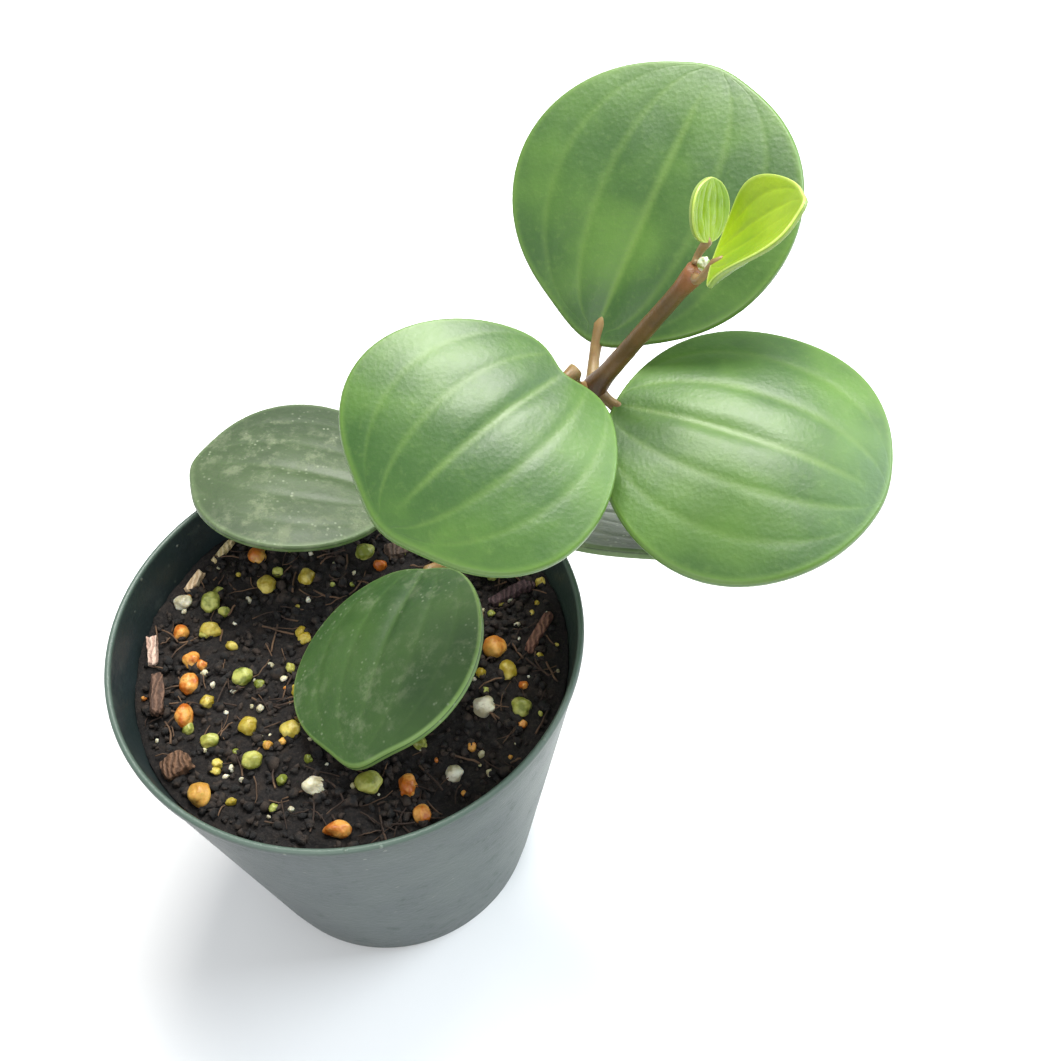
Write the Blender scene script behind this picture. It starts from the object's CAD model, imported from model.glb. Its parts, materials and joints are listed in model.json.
"""Looks for a small potted peperomia: leaves, stem, potting mix and nursery pot in studio light."""

import json
import math
import random

import bmesh
import bpy
import numpy as np
from mathutils import Euler, Matrix, Vector, noise


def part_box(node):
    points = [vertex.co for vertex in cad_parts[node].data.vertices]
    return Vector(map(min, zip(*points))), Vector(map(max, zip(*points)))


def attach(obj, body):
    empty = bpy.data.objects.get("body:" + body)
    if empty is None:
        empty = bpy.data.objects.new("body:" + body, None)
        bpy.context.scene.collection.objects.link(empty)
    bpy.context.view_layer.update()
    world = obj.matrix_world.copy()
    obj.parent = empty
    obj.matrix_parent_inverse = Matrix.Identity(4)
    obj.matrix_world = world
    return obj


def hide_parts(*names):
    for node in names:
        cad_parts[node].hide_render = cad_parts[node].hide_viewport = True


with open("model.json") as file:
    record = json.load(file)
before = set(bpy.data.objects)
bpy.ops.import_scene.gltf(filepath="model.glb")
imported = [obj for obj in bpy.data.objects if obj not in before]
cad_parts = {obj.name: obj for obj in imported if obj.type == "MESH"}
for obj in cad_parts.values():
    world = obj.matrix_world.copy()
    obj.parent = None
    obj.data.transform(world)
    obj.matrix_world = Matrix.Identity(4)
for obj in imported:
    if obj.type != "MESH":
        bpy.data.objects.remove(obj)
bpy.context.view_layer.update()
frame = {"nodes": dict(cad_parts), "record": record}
MM = 0.001

# --- Studio -------------------------------------------------------------------------------
# A plain pale floor, a bright even sky and three soft lights, shown without a film curve.
# The camera looks down on the plant from the front, turned a little about its own axis.
FLOOR_REACH = 4.0
AIM = Vector((15, 5, 60)) * MM
CAMERA_PLACE = Vector((25.57, -95.58, 196.4)) * MM
CAMERA_LENS = 42.65
PITCH = math.radians(51.5)
ROLL = math.radians(-3.52)

floor_mesh = bpy.data.meshes.new("floor")
bm = bmesh.new()
bmesh.ops.create_grid(bm, x_segments=1, y_segments=1, size=FLOOR_REACH)
bm.to_mesh(floor_mesh)
bm.free()
floor = bpy.data.objects.new("floor", floor_mesh)
bpy.context.scene.collection.objects.link(floor)
floor_paint = bpy.data.materials.new("floor_paint")
floor_paint.use_nodes = True
floor_shader = floor_paint.node_tree.nodes["Principled BSDF"]
floor_shader.inputs["Base Color"].default_value = (0.93, 0.93, 0.93, 1)
floor_shader.inputs["Roughness"].default_value = 0.9
floor_mesh.materials.append(floor_paint)

world = bpy.data.worlds.new("studio")
world.use_nodes = True
world.node_tree.nodes["Background"].inputs["Color"].default_value = (0.93, 0.97, 1.0, 1)
world.node_tree.nodes["Background"].inputs["Strength"].default_value = 0.62
bpy.context.scene.world = world
bpy.context.scene.view_settings.view_transform = "Standard"

for name, place, size, power, colour in (
    ("key", (60, 160, 430), 200, 2.6, (1.0, 0.98, 0.94)),
    ("window", (360, 60, 300), 240, 1.6, (0.84, 0.93, 1.0)),
    ("front", (-160, -380, 300), 320, 0.9, (1.0, 1.0, 1.0)),
):
    lamp = bpy.data.lights.new(name, "AREA")
    lamp.size = size * MM
    lamp.energy = power
    lamp.color = colour
    holder = bpy.data.objects.new(name, lamp)
    holder.location = Vector(place) * MM
    holder.rotation_euler = (AIM - holder.location).to_track_quat("-Z", "Y").to_euler()
    bpy.context.scene.collection.objects.link(holder)

camera_data = bpy.data.cameras.new("camera")
camera_data.sensor_width = 36.0
camera_data.lens = CAMERA_LENS
camera_data.clip_start = 0.005
camera = bpy.data.objects.new("camera", camera_data)
camera.location = CAMERA_PLACE
look = Euler((math.pi / 2 - PITCH, 0, 0)).to_matrix()
camera.rotation_euler = (look @ Matrix.Rotation(ROLL, 3, "Z")).to_euler()
bpy.context.scene.collection.objects.link(camera)
bpy.context.scene.camera = camera


# --- Pot ----------------------------------------------------------------------------------
# A thin injection-moulded nursery pot of dark grey-green plastic, satin and a little dusty,
# open at the top, with six drain holes in its flat floor. It carries everything else.
class Wire:
    """A shader socket that takes part in Python sums."""

    def __init__(self, tree, socket):
        self.tree = tree
        self.socket = socket

    def math(self, operation, *others):
        """One Math node, with this socket as its first value."""
        node = self.tree.nodes.new("ShaderNodeMath")
        node.operation = operation
        for slot, value in zip(node.inputs, (self, *others)):
            join(self.tree, value, slot)
        return Wire(self.tree, node.outputs[0])

    def __add__(self, other):
        return self.math("ADD", other)

    def __radd__(self, other):
        return self + other

    def __sub__(self, other):
        return self.math("SUBTRACT", other)

    def __rsub__(self, other):
        return (self * -1) + other

    def __mul__(self, other):
        return self.math("MULTIPLY", other)

    def __rmul__(self, other):
        return self * other

    def ramp(self, low, high):
        """0 below low, 1 above high, smooth between; low may be the larger."""
        node = self.tree.nodes.new("ShaderNodeMapRange")
        node.interpolation_type = "SMOOTHSTEP"
        join(self.tree, self, node.inputs["Value"])
        node.inputs["From Min"].default_value = min(low, high)
        node.inputs["From Max"].default_value = max(low, high)
        node.inputs["To Min"].default_value = 0.0 if low < high else 1.0
        node.inputs["To Max"].default_value = 1.0 if low < high else 0.0
        return Wire(self.tree, node.outputs["Result"])


def join(tree, value, slot):
    """Links a wire to a socket, or sets the socket to a number or a colour."""
    if isinstance(value, Wire):
        tree.links.new(value.socket, slot)
    elif isinstance(value, tuple) and len(value) == 3 and slot.type == "RGBA":
        slot.default_value = (*value, 1.0)
    else:
        slot.default_value = value


class Paint:
    """A material with one Principled shader, and short calls for the nodes that feed it."""

    def __init__(self, name, **settings):
        self.material = bpy.data.materials.new(name)
        self.material.use_nodes = True
        self.tree = self.material.node_tree
        self.shader = self.tree.nodes["Principled BSDF"]
        for setting, value in settings.items():
            join(self.tree, value, self.shader.inputs[setting.replace("_", " ")])
        spot = self.tree.nodes.new("ShaderNodeTexCoord")
        self.place = Wire(self.tree, spot.outputs["Object"])

    def node(self, kind, output, attributes=None, **inputs):
        """Any node: its type, the output wanted, its settings and its sockets' values."""
        made = self.tree.nodes.new(kind)
        for key, value in (attributes or {}).items():
            setattr(made, key, value)
        for key, value in inputs.items():
            join(self.tree, value, made.inputs[key.replace("_", " ")])
        return Wire(self.tree, made.outputs[output])

    def noise(self, size, detail=3.0, roughness=0.5):
        """Noise whose blotches are about this size in metres."""
        return self.node("ShaderNodeTexNoise", "Fac", Vector=self.place, Scale=1.0 / size,
                         Detail=detail, Roughness=roughness)

    def cells(self, size):
        """The distance to the nearest of scattered points about this far apart."""
        return self.node("ShaderNodeTexVoronoi", "Distance", Vector=self.place, Scale=1.0 / size)

    def value(self, name):
        """A number stored on the mesh."""
        return self.node("ShaderNodeAttribute", "Fac", {"attribute_name": name})

    def mix(self, share, first, second):
        """The first colour where the share is 0, the second where it is 1."""
        made = self.tree.nodes.new("ShaderNodeMix")
        made.data_type = "RGBA"
        join(self.tree, share, made.inputs[0])
        join(self.tree, first, made.inputs[6])
        join(self.tree, second, made.inputs[7])
        return Wire(self.tree, made.outputs[2])

    def finish(self, colour, roughness=None, height=None, depth=0.1 * MM):
        """Connects the colour, the roughness and a height that becomes a bump."""
        join(self.tree, colour, self.shader.inputs["Base Color"])
        if roughness is not None:
            join(self.tree, roughness, self.shader.inputs["Roughness"])
        if height is not None:
            bump = self.node("ShaderNodeBump", "Normal", Height=height, Distance=depth)
            join(self.tree, bump, self.shader.inputs["Normal"])
        return self.material


def piece(name, bm, material, slot, *nodes):
    """A finished mesh that rides on the part and stands for the CAD nodes it replaces."""
    mesh = bpy.data.meshes.new(name)
    bm.to_mesh(mesh)
    bm.free()
    mesh.shade_smooth()
    mesh.materials.append(material)
    obj = bpy.data.objects.new(name, mesh)
    bpy.context.scene.collection.objects.link(obj)
    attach(obj, "root")
    if nodes:
        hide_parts(*nodes)
    return obj


def lathe(profile, steps):
    """A full turn about Z of (radius, height) points, closed where they meet the axis."""
    bm = bmesh.new()
    points = [bm.verts.new((radius, 0, height)) for radius, height in profile]
    edges = [bm.edges.new(pair) for pair in zip(points, points[1:])]
    bmesh.ops.spin(bm, geom=points + edges, axis=(0, 0, 1), angle=2 * math.pi, steps=steps,
                   use_merge=True)
    bmesh.ops.remove_doubles(bm, verts=bm.verts, dist=0.000002)
    bmesh.ops.recalc_face_normals(bm, faces=bm.faces)
    return bm


POT_LOW, POT_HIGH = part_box("pot")
RIM_RADIUS = POT_HIGH.x
POT_HEIGHT = POT_HIGH.z
BASE_RADIUS = 0.697 * RIM_RADIUS
WALL = 0.9 * MM
FLOOR_TOP = 1.2 * MM
FLOOR_FILLET = 1.2 * MM
RIM_LIP = 1.0 * MM
WALL_STEPS = 12
RIM_STEPS = 8
DRAIN_HOLES = 6
DRAIN_RING_RADIUS = 16 * MM
DRAIN_HOLE_RADIUS = 1.9 * MM


def wall_radius(height):
    """The pot's outer radius at a height."""
    return BASE_RADIUS + (RIM_RADIUS - BASE_RADIUS) * height / POT_HEIGHT


pot_profile = [(0, FLOOR_TOP), (wall_radius(0) - 2.4 * MM, FLOOR_TOP)]
pot_profile += [(wall_radius(0) - WALL, FLOOR_TOP + FLOOR_FILLET)]
for step in range(1, WALL_STEPS + 1):
    height = FLOOR_TOP + (POT_HEIGHT - RIM_LIP - FLOOR_TOP) * step / WALL_STEPS
    pot_profile.append((wall_radius(height) - WALL, height))
for step in range(RIM_STEPS + 1):
    angle = math.pi * (1 - step / RIM_STEPS)
    pot_profile.append((RIM_RADIUS - 0.5 * WALL + 0.5 * WALL * math.cos(angle),
                        POT_HEIGHT - 0.5 * WALL + 0.5 * WALL * math.sin(angle)))
pot_profile += [(RIM_RADIUS - 0.02 * MM, POT_HEIGHT - RIM_LIP)]
pot_profile += [(RIM_RADIUS - 0.35 * MM, POT_HEIGHT - 1.5 * MM)]
for step in range(WALL_STEPS):
    height = ((POT_HEIGHT - 2.0 * MM) * (1 - step / WALL_STEPS)
              + 0.9 * MM * step / WALL_STEPS)
    pot_profile.append((wall_radius(height), height))
pot_profile += [(BASE_RADIUS - 0.1 * MM, 0.4 * MM), (BASE_RADIUS - 0.8 * MM, 0), (0, 0)]

plastic = Paint("nursery_plastic", Coat_Weight=0.08, Coat_Roughness=0.35)
haze = plastic.noise(9 * MM, 4, 0.6)
dust = plastic.noise(2.2 * MM, 6, 0.7).ramp(0.50, 0.74) * haze.ramp(0.40, 0.66)
specks = plastic.cells(2.6 * MM).ramp(0.13, 0.05) * plastic.noise(6 * MM).ramp(0.46, 0.62)
side = plastic.node("ShaderNodeSeparateXYZ", "X", Vector=plastic.place)
body = plastic.mix(side.ramp(-30 * MM, 30 * MM), (0.016, 0.028, 0.028), (0.032, 0.055, 0.042))
body = plastic.mix(haze.ramp(0.3, 0.7) * 0.35, body, (0.026, 0.034, 0.046))
body = plastic.mix(dust * 0.30, body, (0.130, 0.165, 0.130))
body = plastic.mix(specks * 0.45, body, (0.300, 0.330, 0.270))
top = plastic.node("ShaderNodeSeparateXYZ", "Z", Vector=plastic.place)
body = plastic.mix(top.ramp(POT_HEIGHT - 0.7 * MM, POT_HEIGHT) * 0.6, body, (0.110, 0.165, 0.125))
plastic.finish(body, 0.34 + dust * 0.3 + haze * 0.15, plastic.noise(0.9 * MM, 5, 0.6) + specks,
               0.10 * MM)
pot = piece("nursery_pot", lathe(pot_profile, 160), plastic.material, "pot_plastic", "pot")
for hole in range(DRAIN_HOLES):
    angle = 2 * math.pi / DRAIN_HOLES * (hole + 0.5)
    bm = bmesh.new()
    place = Matrix.Translation((DRAIN_RING_RADIUS * math.cos(angle),
                                DRAIN_RING_RADIUS * math.sin(angle), 0))
    bmesh.ops.create_cone(bm, cap_ends=True, segments=28, radius1=DRAIN_HOLE_RADIUS,
                          radius2=DRAIN_HOLE_RADIUS, depth=7 * MM, matrix=place)
    drill_mesh = bpy.data.meshes.new(f"drill_{hole}")
    bm.to_mesh(drill_mesh)
    bm.free()
    drill = bpy.data.objects.new(f"drill_{hole}", drill_mesh)
    bpy.context.scene.collection.objects.link(drill)
    cut = pot.modifiers.new(f"drain_{hole}", "BOOLEAN")
    cut.object = drill
    cut.operation = "DIFFERENCE"
    bpy.context.view_layer.objects.active = pot
    bpy.ops.object.modifier_apply(modifier=cut.name)
    bpy.data.objects.remove(drill)
pot.data.set_sharp_from_angle(angle=math.radians(40))


# --- Potting mix --------------------------------------------------------------------------
# Moist near-black peat with a lumpy top, loose crumbs and brown fibres. It fills the pot to
# about 7 mm below the rim.
SOIL_TOP = 50.8 * MM
SOIL_RINGS = 72
STEM_FOOT = Vector((16.2, 14.6, 45.0)) * MM
STEM_AT_SOIL = (17.5 * MM, 14.2 * MM)
STEM_CLEARANCE = 3 * MM
SCATTER_REACH = 28.6 * MM
FIBRE_REACH = 28.9 * MM
CRUMBS = 1700
FIBRES = 260
FIBRE_STEPS = 4


def soil_height(x, y):
    """The CAD mix's uneven top."""
    near_stem = math.exp(-((x - STEM_FOOT.x) ** 2 + (y - STEM_FOOT.y) ** 2) / (6 * MM) ** 2)
    bumps = noise.noise(Vector((x, y, 0.0)) / (5 * MM) + Vector((3.1, 7.7, 0.0)))
    return SOIL_TOP + 0.7 * MM * (bumps + 0.8 * near_stem)


soil_edge = wall_radius(SOIL_TOP) - WALL - 0.15 * MM
soil_profile = [(soil_edge * step / SOIL_RINGS, SOIL_TOP) for step in range(SOIL_RINGS + 1)]
soil_profile += [(wall_radius(20 * MM) - WALL - 0.3 * MM, 20 * MM)]
soil_profile += [(wall_radius(3 * MM) - WALL - 0.5 * MM, 3 * MM), (0, FLOOR_TOP + 0.3 * MM)]
bm = lathe(soil_profile, 220)
for vert in bm.verts:
    if vert.co.z > SOIL_TOP - 0.1 * MM:
        x, y = vert.co.x, vert.co.y
        lumps = noise.fractal(Vector((x, y, 0)) / (2.4 * MM), 1.0, 2.1, 5)
        pits = abs(noise.noise(Vector((x, y, 4.0 * MM)) / (1.1 * MM)))
        vert.co.z = soil_height(x, y) + (0.55 * lumps - 0.5 * pits) * MM
peat = Paint("moist_peat", Roughness=0.9)
grit = peat.noise(0.5 * MM, 8, 0.75)
clod = peat.noise(3.0 * MM, 4, 0.6)
earth = peat.mix(grit.ramp(0.35, 0.75), (0.004, 0.0035, 0.004), (0.030, 0.022, 0.018))
earth = peat.mix(clod.ramp(0.5, 0.75) * 0.5, earth, (0.045, 0.027, 0.016))
peat.finish(earth, 0.95 - grit.ramp(0.5, 0.8) * 0.45, grit + clod, 0.5 * MM)
piece("peat_bed", bm, peat.material, "peat", "potting_mix")

chance = random.Random(7)


def spot_on_soil():
    """A seeded random place on the mix, inside the pot and off the stem."""
    while True:
        x = chance.uniform(-SCATTER_REACH, SCATTER_REACH)
        y = chance.uniform(-SCATTER_REACH, SCATTER_REACH)
        from_stem = math.hypot(x - STEM_AT_SOIL[0], y - STEM_AT_SOIL[1])
        if math.hypot(x, y) < SCATTER_REACH and from_stem > STEM_CLEARANCE:
            return x, y


def lump(bm, place, half, detail, rough, seed):
    """Adds one irregular lump to the mesh."""
    turn = Euler([chance.uniform(0, math.pi) for _ in range(3)]).to_matrix().to_4x4()
    made = bmesh.ops.create_icosphere(bm, subdivisions=detail, radius=1.0)["verts"]
    for vert in made:
        swell = 1 + rough * noise.noise(vert.co * 1.3 + Vector((seed * 1.37, seed * 0.71, 0)))
        stretched = Vector([side * size for side, size in zip(vert.co * swell, half)])
        vert.co = place + turn @ stretched


bm = bmesh.new()
for seed in range(CRUMBS):
    x, y = spot_on_soil()
    size = chance.uniform(0.25, 0.95) * MM * (0.6 + 0.4 * chance.random())
    half = [size * chance.uniform(0.6, 1.3) for _ in range(3)]
    lump(bm, Vector((x, y, soil_height(x, y) + 0.2 * size)), half, 1, 0.8, seed)
crumb = Paint("peat_crumbs", Roughness=0.85)
fleck = crumb.noise(0.35 * MM, 6, 0.7)
tone = crumb.noise(1.4 * MM, 2)
shade = crumb.mix(tone.ramp(0.40, 0.66), (0.006, 0.005, 0.005), (0.040, 0.026, 0.018))
shade = crumb.mix(fleck.ramp(0.60, 0.80) * 0.5, shade, (0.120, 0.085, 0.060))
crumb.finish(shade, 0.9 - fleck * 0.3, fleck, 0.3 * MM)
piece("crumbs", bm, crumb.material, "peat")


def strand(bm, points, radius, sides=5):
    """Adds a thin closed tube: a small disc, extruded from point to point and capped."""
    ahead = (points[1] - points[0]).normalized()
    spin = ahead.to_track_quat("Z", "Y").to_matrix().to_4x4()
    disc = bmesh.ops.create_circle(bm, cap_ends=True, segments=sides, radius=radius,
                                   matrix=Matrix.Translation(points[0]) @ spin)
    face = disc["verts"][0].link_faces[0]
    for start, end in zip(points, points[1:]):
        grown = bmesh.ops.extrude_discrete_faces(bm, faces=[face])
        face = grown["faces"][0]
        bmesh.ops.translate(bm, verts=face.verts, vec=end - start)


bm = bmesh.new()
for seed in range(FIBRES):
    x, y = spot_on_soil()
    heading = chance.uniform(0, 2 * math.pi)
    length = chance.uniform(1.5, 5.0) * MM
    bend = chance.uniform(-0.5, 0.5)
    points = []
    for step in range(FIBRE_STEPS + 1):
        along = length * (step / FIBRE_STEPS - 0.5)
        px = x + along * math.cos(heading + bend * step / FIBRE_STEPS)
        py = y + along * math.sin(heading + bend * step / FIBRE_STEPS)
        if math.hypot(px, py) > FIBRE_REACH:
            break
        points.append(Vector((px, py, soil_height(px, py) + chance.uniform(0.2, 0.7) * MM)))
    if len(points) > 2:
        strand(bm, points, chance.uniform(0.06, 0.17) * MM, 4)
bmesh.ops.recalc_face_normals(bm, faces=bm.faces)
fibre = Paint("peat_fibres", Roughness=0.8)
fibre_tone = fibre.noise(5 * MM, 2)
fibre.finish(fibre.mix(fibre_tone.ramp(0.4, 0.65), (0.030, 0.016, 0.010), (0.150, 0.085, 0.045)))
piece("fibres", bm, fibre.material, "peat")


# --- Granules -----------------------------------------------------------------------------
# Coated fertiliser and mineral grains, about 3 mm across, each where its CAD node lies, with
# many smaller ones loose between them. Translucent amber, lemon, moss and chalk tints.
TINTS = {
    "orange": ((0.420, 0.105, 0.006), (0.700, 0.330, 0.070)),
    "yellow": ((0.330, 0.240, 0.015), (0.620, 0.520, 0.120)),
    "green": ((0.150, 0.180, 0.018), (0.420, 0.440, 0.110)),
    "white": ((0.380, 0.350, 0.230), (0.700, 0.680, 0.540)),
}


def granule_paint(tint):
    """A translucent grain: patches of its pale tint over the deep one, and a little grime."""
    deep, pale = TINTS[tint]
    paint = Paint("granule_" + tint, Subsurface_Weight=0.25, Subsurface_Radius=(1.0, 0.6, 0.3),
                  Subsurface_Scale=0.6 * MM)
    patch = paint.noise(2.2 * MM, 3, 0.6)
    skin = paint.mix(patch.ramp(0.42, 0.60), deep, pale)
    grime = paint.noise(1.1 * MM, 5, 0.7).ramp(0.55, 0.75)
    skin = paint.mix(grime * 0.55, skin, (0.045, 0.032, 0.018))
    hue = paint.noise(7 * MM, 1)
    skin = paint.mix(hue.ramp(0.50, 0.70) * 0.35, skin, (0.560, 0.480, 0.100))
    return paint.finish(skin, 0.38 + grime * 0.4, paint.noise(0.6 * MM, 4, 0.6), 0.15 * MM)


GRAIN_PAINTS = {tint: granule_paint(tint) for tint in TINTS}
GRAIN_NODES = sorted(name for name in frame["nodes"] if name.startswith("granule_"))
for number, node in enumerate(GRAIN_NODES):
    low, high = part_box(node)
    half = (high - low) * 0.5
    bm = bmesh.new()
    made = bmesh.ops.create_icosphere(bm, subdivisions=4, radius=1.0)["verts"]
    for vert in made:
        facets = noise.noise(vert.co * 1.2 + Vector((number * 5.3, number * 1.7, 0)))
        ripple = noise.noise(vert.co * 4.0 + Vector((0, number * 3.1, 0)))
        swell = 0.90 + 0.22 * facets + 0.035 * ripple
        flat = 1 - 0.16 * max(0.0, noise.noise(vert.co * 0.7 + Vector((number, 0, 9))))
        vert.co = (low + high) * 0.5 + Vector(
            [side * size * swell * flat for side, size in zip(vert.co, half)])
    tint = node.rsplit("_", 1)[1]
    piece("grain_" + node.removeprefix("granule_"), bm, GRAIN_PAINTS[tint], "granule_" + tint, node)

for tint, count in (("orange", 26), ("yellow", 34), ("green", 36), ("white", 80)):
    bm = bmesh.new()
    for seed in range(count):
        x, y = spot_on_soil()
        size = chance.uniform(0.30, 0.85) * MM * (0.6 if tint == "white" else 1.0)
        half = [size * chance.uniform(0.75, 1.2) for _ in range(3)]
        lump(bm, Vector((x, y, soil_height(x, y) + 0.35 * size)), half, 3, 0.35, seed + count)
    piece("small_grains_" + tint, bm, GRAIN_PAINTS[tint], "granule_" + tint)


# --- Wood in the mix ----------------------------------------------------------------------
# Bark chips, a purple-brown stick, a reddish twig and pale splinters, half sunk in the peat.
# Each is split and torn along its grain.
def wood_paint(name, dark, light):
    """Torn wood: wavy growth rings, with a ragged grain across them."""
    paint = Paint(name, Roughness=0.8)
    rings = paint.node("ShaderNodeTexWave", "Fac", {"bands_direction": "X"}, Vector=paint.place,
                       Scale=420.0, Distortion=6.0, Detail=3.0, Detail_Scale=1.5)
    tear = paint.noise(0.7 * MM, 6, 0.7)
    tone = paint.mix(rings * 0.6 + tear * 0.4, dark, light)
    return paint.finish(tone, 0.85 - tear * 0.2, rings + tear, 0.2 * MM)


WOODS = {
    "bark_strip": wood_paint("bark_strip_wood", (0.040, 0.020, 0.014), (0.200, 0.110, 0.070)),
    "bark_chunk": wood_paint("bark_chunk_wood", (0.050, 0.024, 0.012), (0.230, 0.120, 0.065)),
    "bark_piece": wood_paint("bark_piece_wood", (0.030, 0.018, 0.012), (0.120, 0.075, 0.050)),
    "purple_stick": wood_paint("stick_wood", (0.022, 0.012, 0.014), (0.110, 0.062, 0.066)),
    "twig": wood_paint("twig_wood", (0.050, 0.014, 0.010), (0.260, 0.130, 0.085)),
    "splinter_left": wood_paint("splinter_wood", (0.420, 0.240, 0.180), (0.780, 0.600, 0.480)),
    "splinter_back": wood_paint("splinter_pale", (0.450, 0.290, 0.150), (0.800, 0.640, 0.430)),
    "straw": wood_paint("straw_wood", (0.400, 0.300, 0.110), (0.760, 0.640, 0.380)),
}
for number, (node, wood) in enumerate(WOODS.items()):
    low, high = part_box(node)
    source = frame["nodes"][node].data
    bm = bmesh.new()
    bm.from_mesh(source)
    bmesh.ops.remove_doubles(bm, verts=bm.verts, dist=0.00001)
    bmesh.ops.subdivide_edges(bm, edges=bm.edges, cuts=5, use_grid_fill=True)
    bmesh.ops.smooth_vert(bm, verts=bm.verts, factor=0.4, use_axis_x=True, use_axis_y=True,
                          use_axis_z=True)
    centre = (low + high) * 0.5
    for vert in bm.verts:
        tear = noise.noise(vert.co / (0.45 * MM) + Vector((number * 4.1, 0, 0)))
        vert.co = centre + (vert.co - centre) * (0.95 + 0.10 * tear)
    slot = next(part["material_slot"] for part in frame["record"]["subparts"]
                if part["node"] == node)
    piece("wood_" + node, bm, wood, slot, node)


# --- Stem ---------------------------------------------------------------------------------
# One succulent stem, red-brown below and browner above, a little glossy, leaning right. It
# swells where the leaves join and ends in a reddish-brown knob under the bud.
LOWER_WHORL = Vector((19.4, 13.4, 56.0)) * MM
UPPER_WHORL = Vector((34.1, 10.0, 90.0)) * MM
STEM_TIP = Vector((44.6, 6.7, 109.6)) * MM
STEM_FOOT_RADIUS = 1.75 * MM
STEM_TIP_RADIUS = 0.9 * MM
NODE_SWELLING = 0.35 * MM
SWELLING_SPREAD = 2.0 * MM
STEM_STEPS = 90


def stem_centre(height):
    """The stem's centre line at a height, straight between its whorls."""
    places = [STEM_FOOT, LOWER_WHORL, UPPER_WHORL, STEM_TIP]
    for low, high in zip(places, places[1:]):
        if height <= high.z:
            return low.lerp(high, (height - low.z) / (high.z - low.z))
    return STEM_TIP.copy()


def stem_radius(height):
    """Tapered, and swollen where leaves join."""
    along = (height - STEM_FOOT.z) / (STEM_TIP.z - STEM_FOOT.z)
    radius = STEM_FOOT_RADIUS + (STEM_TIP_RADIUS - STEM_FOOT_RADIUS) * along
    for whorl in (LOWER_WHORL.z, UPPER_WHORL.z, STEM_TIP.z):
        radius += NODE_SWELLING * math.exp(-(((height - whorl) / SWELLING_SPREAD) ** 2))
    return radius


def tube(bm, points, radii, sides=24):
    """Adds a round closed tube through the points, each ring with its own radius."""
    rings = []
    for index, point in enumerate(points):
        before = points[max(index - 1, 0)]
        after = points[min(index + 1, len(points) - 1)]
        turn = (after - before).to_track_quat("Z", "Y").to_matrix().to_4x4()
        ends = index in (0, len(points) - 1)
        ring = bmesh.ops.create_circle(bm, cap_ends=ends, segments=sides, radius=radii[index],
                                       matrix=Matrix.Translation(point) @ turn)
        rings.append(ring["verts"])
    for low, high in zip(rings, rings[1:]):
        edges = [edge for ring in (low, high) for vert in ring for edge in vert.link_edges
                 if edge.other_vert(vert) in ring]
        bmesh.ops.bridge_loops(bm, edges=list(set(edges)))


stem_heights = [STEM_FOOT.z + (STEM_TIP.z - STEM_FOOT.z) * step / STEM_STEPS
                for step in range(STEM_STEPS + 1)]
bm = bmesh.new()
tube(bm, [stem_centre(height) for height in stem_heights],
     [stem_radius(height) * (1 + 0.03 * noise.noise(Vector((0, 0, height / (3 * MM)))))
      for height in stem_heights])
for vert in bm.verts:
    vert.co += noise.noise_vector(vert.co / (1.6 * MM)) * 0.06 * MM
bmesh.ops.recalc_face_normals(bm, faces=bm.faces)
bark_skin = Paint("stem_skin_detail", Subsurface_Weight=0.12, Subsurface_Scale=1.0 * MM,
                  Coat_Weight=0.15, Coat_Roughness=0.3)
height_on_stem = bark_skin.node("ShaderNodeSeparateXYZ", "Z", Vector=bark_skin.place)
mottle = bark_skin.noise(2.4 * MM, 5, 0.6)
fine = bark_skin.noise(0.4 * MM, 4, 0.6)
rind = bark_skin.mix(mottle.ramp(0.38, 0.62), (0.075, 0.058, 0.006), (0.150, 0.098, 0.014))
rind = bark_skin.mix(height_on_stem.ramp(88 * MM, 94 * MM) * 0.4, (0.095, 0.035, 0.010), rind)
knob = height_on_stem.ramp(106 * MM, 109 * MM)
rind = bark_skin.mix(knob * 0.7, rind, (0.260, 0.090, 0.022))
rind = bark_skin.mix(fine.ramp(0.6, 0.8) * 0.35, rind, (0.240, 0.190, 0.060))
bark_skin.finish(rind, 0.38 + fine * 0.2, fine + mottle, 0.08 * MM)
piece("plant_stem", bm, bark_skin.material, "stem_skin", "stem")

root_paint = Paint("root_skin_detail", Roughness=0.8)
root_tone = root_paint.noise(1.5 * MM, 4)
root_paint.finish(root_paint.mix(root_tone, (0.25, 0.16, 0.08), (0.52, 0.40, 0.24)))
roots = frame["nodes"]["roots"].data
roots.materials.clear()
roots.materials.append(root_paint.material)


# --- Leaves -------------------------------------------------------------------------------
# Thick glossy round leaves with a creased midrib, arching side veins and a paler rounded
# margin. Each is one closed body, and its short brown petiole joins it to the stem.
LEAF_THICKNESS = 1.2 * MM
YOUNG_LEAF_THICKNESS = 0.6 * MM
PETIOLE_RADIUS = 0.75 * MM
YOUNG_PETIOLE_RADIUS = 0.45 * MM
CREASE = 0.5 * MM
YOUNG_CREASE = 0.1 * MM
EDGE_ROUND = 0.018
INNER_VEIN = 0.36
OUTER_VEIN = 0.70
BOW_STEPS = 12


def leaf_surface(u, v, length, width, droop, dome):
    """The height of a leaf's upper face, u along the midrib and v across."""
    along = min(max(u / length, 0.0), 1.0)
    across = v / (0.5 * width)
    sag = droop * length * 1.6 * ((u / length - 0.4) ** 2 - 0.16)
    crown = dome * 0.5 * width * across ** 2 * (0.35 + 0.65 * math.sin(math.pi * along))
    return -sag - crown


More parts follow.
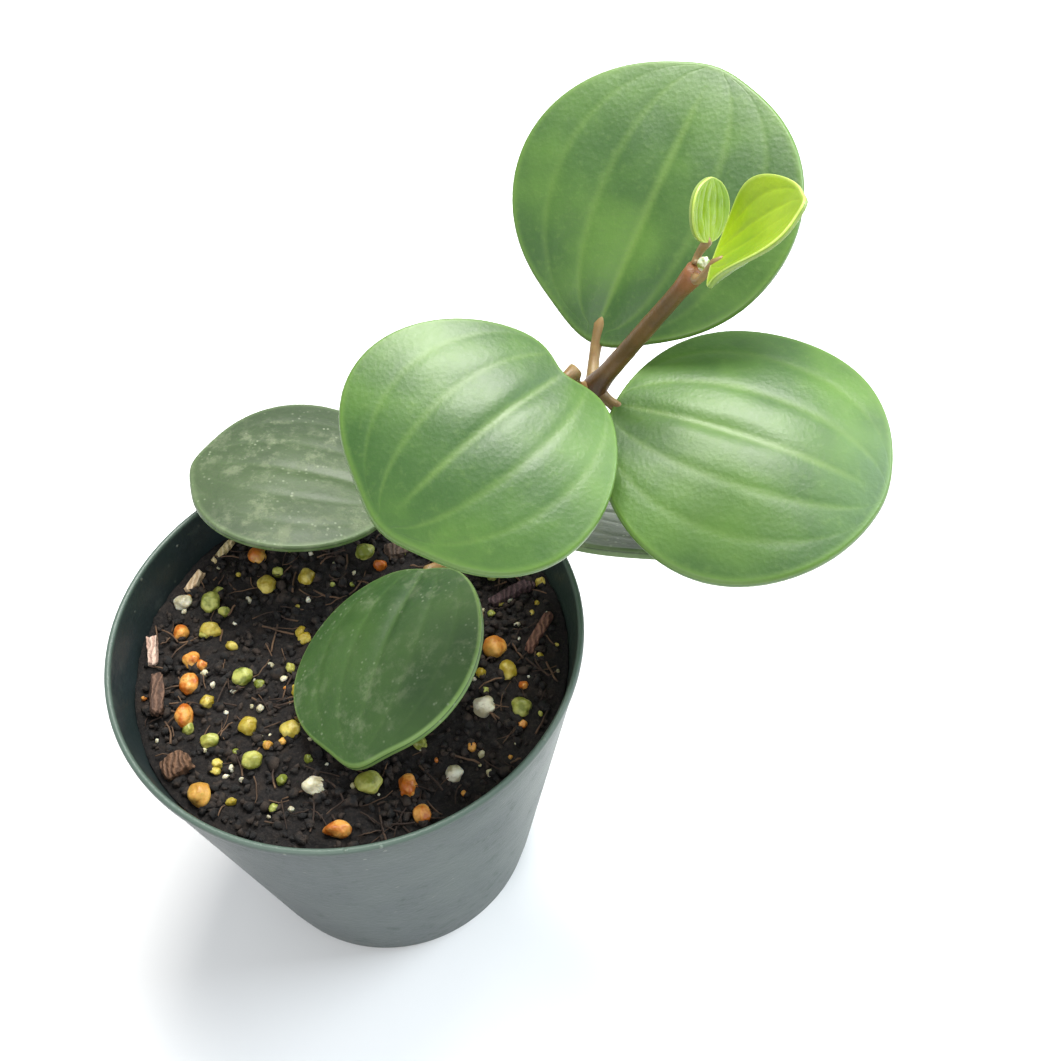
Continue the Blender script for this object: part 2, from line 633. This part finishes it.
def leaf_point(angle, share, shape):
    """A point of the leaf, at a share of the way from its middle to its outline."""
    length, width, droop, dome, lean, tip, notch = shape
    reach = 1 + tip * math.exp(-((angle / 0.22) ** 2))
    reach -= notch * math.exp(-(((abs(angle) - math.pi) / 0.30) ** 2))
    u = 0.5 * length * (1 + share * reach * math.cos(angle))
    v = 0.5 * width * share * reach * math.sin(angle) * (1 - lean * math.cos(angle))
    return Vector((u, v, leaf_surface(u, v, length, width, droop, dome)))


def leaf_mesh(base, turn, shape, thickness, seed, crease):
    """A leaf's closed body, with numbers for its veins and its margin stored on the mesh."""
    heading, rise, roll = [math.radians(angle) for angle in turn]
    place = Matrix.Translation(base) @ Euler((roll, -rise, heading), "XYZ").to_matrix().to_4x4()
    bm = bmesh.new()
    upper = [(step / 40, 0.0) for step in range(40)]
    rim = [(1.0 - EDGE_ROUND + EDGE_ROUND * math.sin(math.pi * step / 8),
            -0.5 + 0.5 * math.cos(math.pi * step / 8)) for step in range(9)]
    lower = [((1.0 - EDGE_ROUND) * step / 14, -1.0) for step in range(13, -1, -1)]
    spoke = [bm.verts.new((share, 0, depth)) for share, depth in upper + rim + lower]
    edges = [bm.edges.new(pair) for pair in zip(spoke, spoke[1:])]
    bmesh.ops.spin(bm, geom=spoke + edges, axis=(0, 0, 1), angle=2 * math.pi, steps=144,
                   use_merge=True)
    bmesh.ops.remove_doubles(bm, verts=bm.verts, dist=0.0001)
    bmesh.ops.recalc_face_normals(bm, faces=bm.faces)
    vein_line = bm.verts.layers.float.new("meridian")
    along_line = bm.verts.layers.float.new("along")
    share_line = bm.verts.layers.float.new("share")
    length, width = shape[:2]
    for vert in bm.verts:
        share, depth = vert.co.xy.length, vert.co.z
        angle = math.atan2(vert.co.y, vert.co.x)
        point = leaf_point(angle, share, shape)
        across = point.y / (0.5 * width)
        along = point.x / length
        bow = math.sqrt(max(1 - (2 * along - 1) ** 2, 0.03))
        meridian = across / bow
        fade = max(0.0, 1 - share ** 4)
        groove = crease * math.exp(-((across / 0.07) ** 2)) * max(0.0, 1.05 - along) * fade
        for vein in (INNER_VEIN, OUTER_VEIN):
            groove += 0.10 * MM * math.exp(-(((abs(meridian) - vein) / 0.05) ** 2)) * fade
        waves = noise.noise(Vector((along * 4, across * 4, seed * 3.7))) * 0.16 * MM * fade
        point.z += depth * thickness - groove + waves
        vert.co = place @ point
        vert[vein_line] = meridian
        vert[along_line] = along
        vert[share_line] = share if depth > -0.5 else -share
    return bm, place


def leaf_paint(name, dark, light, vein_tone, margin, residue=0.0, rim_reach=0.94, gloss=0.36):
    """Leaf skin: blotched green, arching pale veins, a bright margin and a dry residue."""
    paint = Paint(name, Subsurface_Weight=0.08, Subsurface_Radius=(0.4, 1.0, 0.2),
                  Subsurface_Scale=0.8 * MM, Coat_Weight=0.15, Coat_Roughness=0.30)
    broad = paint.noise(13 * MM, 3, 0.5)
    fine = paint.noise(0.9 * MM, 5, 0.65)
    pore = paint.cells(0.55 * MM)
    skin = paint.mix(broad.ramp(0.30, 0.70), dark, light)
    skin = paint.mix(fine.ramp(0.50, 0.75) * 0.18, skin, vein_tone)
    meridian = paint.value("meridian").math("ABSOLUTE")
    along = paint.value("along")
    share = paint.value("share").math("ABSOLUTE")
    veins = (meridian.ramp(0.055, 0.0) * along.ramp(1.0, 0.75)
             + (meridian - INNER_VEIN).math("ABSOLUTE").ramp(0.055, 0.0) * 0.6
             + (meridian - OUTER_VEIN).math("ABSOLUTE").ramp(0.05, 0.0) * 0.45)
    skin = paint.mix((veins * share.ramp(1.0, 0.8)).math("MINIMUM", 1.0) * 0.42, skin, vein_tone)
    skin = paint.mix(share.ramp(rim_reach, 1.0) * 0.85, skin, margin)
    under = paint.value("share").ramp(0.0, -0.02)
    skin = paint.mix(under * 0.6, skin, (0.110, 0.190, 0.055))
    rough = gloss + fine * 0.16
    if residue:
        film = paint.noise(2.4 * MM, 7, 0.75).ramp(0.47, 0.66) * paint.noise(8 * MM, 2).ramp(0.35, 0.6)
        spots = paint.cells(0.9 * MM).ramp(0.28, 0.10) * paint.noise(5 * MM, 3).ramp(0.45, 0.65)
        skin = paint.mix(film * residue, skin, (0.420, 0.450, 0.300))
        skin = paint.mix(spots * residue, skin, (0.620, 0.680, 0.480))
        rough = rough + film * 0.25
    return paint.finish(skin, rough, fine + pore * 0.5 - veins * 0.6, 0.04 * MM)


FRESH = leaf_paint("fresh_leaf", (0.028, 0.085, 0.010), (0.078, 0.172, 0.020),
                   (0.140, 0.240, 0.042), (0.105, 0.205, 0.028))
DULL = leaf_paint("dull_leaf", (0.026, 0.050, 0.014), (0.046, 0.078, 0.024),
                  (0.064, 0.100, 0.036), (0.100, 0.150, 0.060), 0.22, 0.93, 0.45)
DARK = leaf_paint("dark_leaf", (0.022, 0.066, 0.010), (0.045, 0.105, 0.016),
                  (0.070, 0.140, 0.030), (0.200, 0.330, 0.080), 0.16, 0.965, 0.42)
YOUNG = leaf_paint("young_leaf", (0.115, 0.230, 0.002), (0.260, 0.380, 0.004),
                   (0.300, 0.420, 0.008), (0.480, 0.580, 0.120), 0.0, 0.93, 0.34)

petiole_paint = Paint("petiole_skin", Subsurface_Weight=0.15, Subsurface_Scale=0.8 * MM)
blush = petiole_paint.noise(1.8 * MM, 4, 0.6)
petiole_paint.finish(petiole_paint.mix(blush, (0.140, 0.070, 0.022), (0.300, 0.210, 0.075)),
                     0.42 + blush * 0.1, blush, 0.08 * MM)

# Each leaf: its base in mm, its heading, rise and roll in degrees, then its length and width in
# mm with its droop, dome, lean, tip and notch, the joint on the stem that bears it and its skin.
LEAVES = {
    "leaf_upper_back": ((34.9, 16.1, 93.6), (53, 41, 5),
                        (33.0, 35.2, 0.13, -0.02, -0.01, 0.03, -0.10), UPPER_WHORL, FRESH),
    "leaf_upper_front": ((32.3, 8.6, 95.3), (-139, -2, -15),
                         (29.0, 32.7, 0.30, 0.06, -0.16, 0.06, 0.17), UPPER_WHORL, FRESH),
    "leaf_upper_right": ((36.2, 7.8, 89.5), (-29, 2, 9),
                         (32.7, 34.8, 0.20, 0.19, -0.01, 0.01, 0.0), UPPER_WHORL, FRESH),
    "leaf_lower_left": ((7.5, 20.0, 60.9), (169, 10, 7),
                        (29.4, 29.5, 0.16, 0.03, -0.04, 0.05, 0.08), LOWER_WHORL, DULL),
    "leaf_lower_front": ((11.5, 8.0, 60.4), (-111, -1, 25),
                         (28.9, 28.5, 0.23, 0.09, -0.13, 0.09, 0.07), LOWER_WHORL, DARK),
    "leaf_lower_right": ((27.2, 14.0, 63.5), (-31, 18, -36),
                         (28.1, 27.5, 0.15, 0.10, 0.0, 0.03, 0.05), LOWER_WHORL, DULL),
    "young_leaf_small": ((46.0, 8.1, 112.0), (86, 58, 50),
                         (6.6, 6.6, -0.03, -0.07, -0.03, 0.03, 0.03), STEM_TIP, YOUNG),
    "young_leaf_large": ((45.4, 3.9, 113.0), (-30, 49, 12),
                         (12.8, 12.6, -0.07, -0.39, 0.11, 0.09, 0.0), STEM_TIP, YOUNG),
}
for seed, (node, (base, turn, shape, whorl, skin)) in enumerate(LEAVES.items()):
    young = node.startswith("young")
    thickness = YOUNG_LEAF_THICKNESS if young else LEAF_THICKNESS
    stalk = YOUNG_PETIOLE_RADIUS if young else PETIOLE_RADIUS
    base = Vector(base) * MM
    shape = (shape[0] * MM, shape[1] * MM, *shape[2:])
    bm, place = leaf_mesh(base, turn, shape, thickness, seed, YOUNG_CREASE if young else CREASE)
    slot = "young_leaf_skin" if young else (
        "leaf_skin" if node.startswith("leaf_upper") else "old_leaf_skin")
    piece(node.replace("leaf", "blade"), bm, skin, slot, node)
    inside = place @ (leaf_point(0, 1, shape) * 0.12 - Vector((0, 0, 0.6 * thickness)))
    entry = place @ Vector((0.02 * shape[0], 0, -0.6 * thickness))
    axis = (stem_centre(whorl.z) - stem_centre(whorl.z - 3 * MM)).normalized()
    out = (entry - whorl - axis * axis.dot(entry - whorl)).normalized()
    start = whorl + out * stem_radius(whorl.z) * 0.7
    lead = start + out * 0.45 * (entry - start).length
    steps = [step / BOW_STEPS for step in range(BOW_STEPS + 1)]
    path = [start.lerp(lead, t).lerp(lead.lerp(entry, t), t) for t in steps] + [inside]
    radii = [stalk * (1.25 - 0.35 * math.sin(math.pi * t)) for t in steps]
    bm = bmesh.new()
    tube(bm, path, radii + [stalk * 0.6], 18)
    bmesh.ops.recalc_face_normals(bm, faces=bm.faces)
    piece(node.replace("leaf", "petiole"), bm, petiole_paint.material, slot)


# --- Bud ----------------------------------------------------------------------------------
# The closed growing point between the two young leaves: a soft green lump, a little uneven,
# with whitish patches, seated on the knob at the stem's tip.
low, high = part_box("bud")
bm = bmesh.new()
bmesh.ops.create_uvsphere(bm, u_segments=28, v_segments=20, radius=1.0)
for vert in bm.verts:
    curl = 1 + 0.18 * noise.noise(vert.co * 2.0)
    vert.co = (low + high) * 0.5 + Vector(
        [side * size * curl * 0.5 for side, size in zip(vert.co, high - low)])
bud_paint = Paint("bud_skin", Subsurface_Weight=0.2, Subsurface_Scale=0.5 * MM)
bud_tone = bud_paint.noise(0.6 * MM, 3)
bud_paint.finish(bud_paint.mix(bud_tone.ramp(0.4, 0.6), (0.260, 0.330, 0.060),
                               (0.700, 0.740, 0.520)), 0.4, bud_tone, 0.06 * MM)
piece("growing_tip", bm, bud_paint.material, "young_leaf_skin", "bud")
